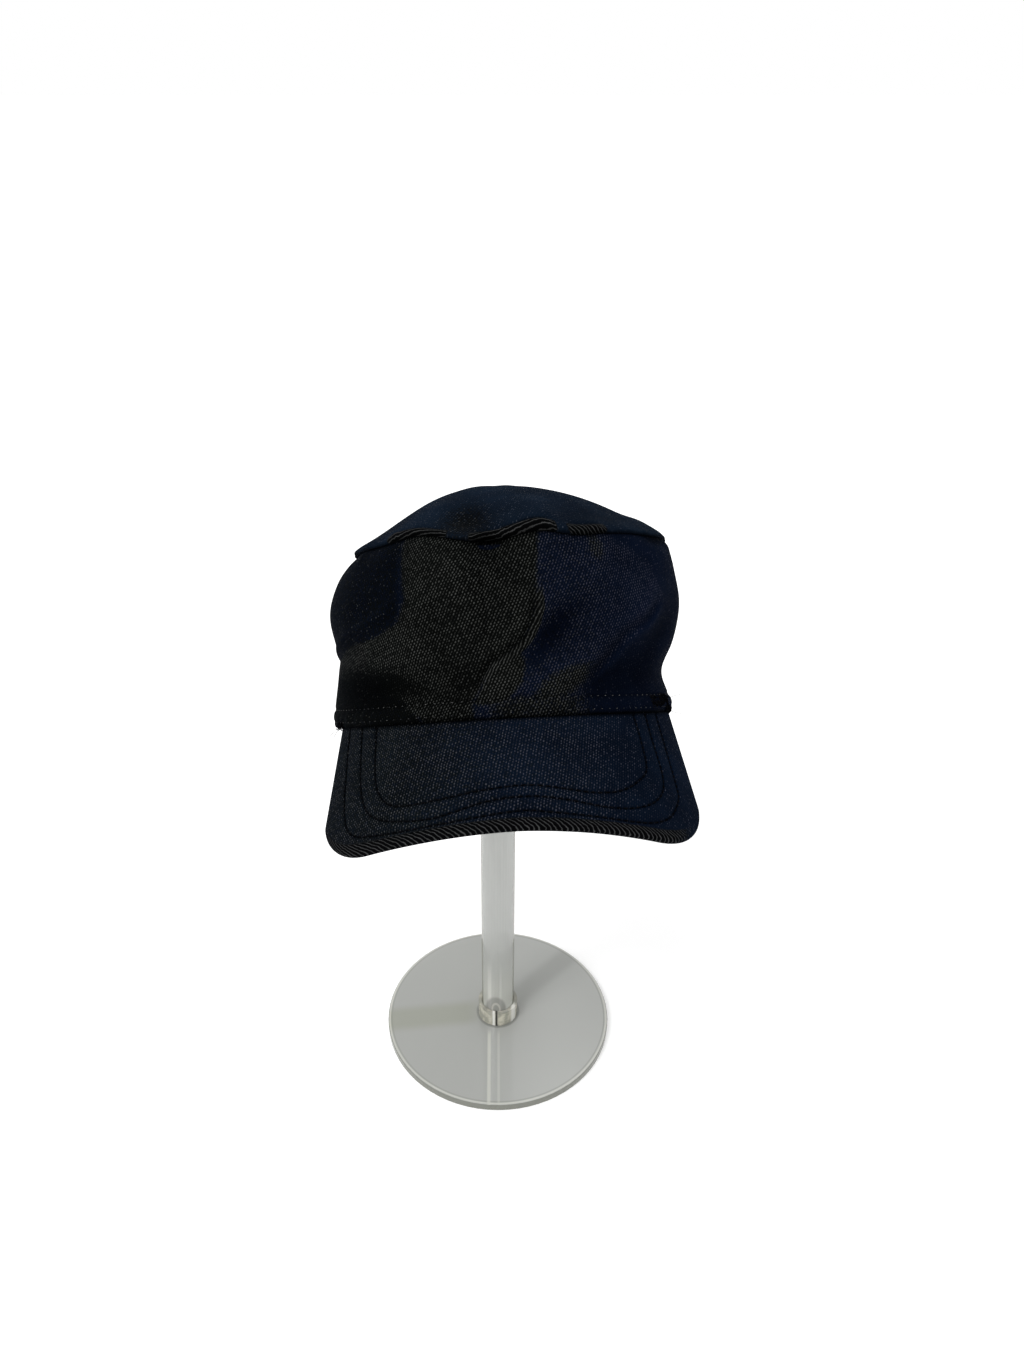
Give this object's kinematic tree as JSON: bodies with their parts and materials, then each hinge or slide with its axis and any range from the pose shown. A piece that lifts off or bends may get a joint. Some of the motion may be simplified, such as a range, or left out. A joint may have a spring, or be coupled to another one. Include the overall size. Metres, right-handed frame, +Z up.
{
  "type": "peaked sailor cap on a clear display stand",
  "caption": "Soft denim cap with a tall round crown, oval top and stiff arched peak, tipped back on a clear rod stand with a disc foot.",
  "frame": {"origin": "middle of the stand's flat underside", "axes": "+Z up along the rod, -Y towards the front of the cap, where its peak points, +X to the left of the wearer"},
  "size_m": [0.1723, 0.248, 0.3606],
  "materials": {
    "crown_denim": "dark indigo twill denim, matt, with fine pale flecks along the wales",
    "peak_denim": "dark indigo twill denim over a stiff board, matt, with three stitched rows",
    "clear_acrylic": "clear polished acrylic with a faint grey tint"
  },
  "bodies": {
    "root": {"crown_side": "crown_denim", "crown_top": "crown_denim", "peak": "peak_denim", "stand_base": "clear_acrylic", "stand_collar": "clear_acrylic", "stand_rod": "clear_acrylic", "stand_head": "clear_acrylic"}
  },
  "joints": []
}
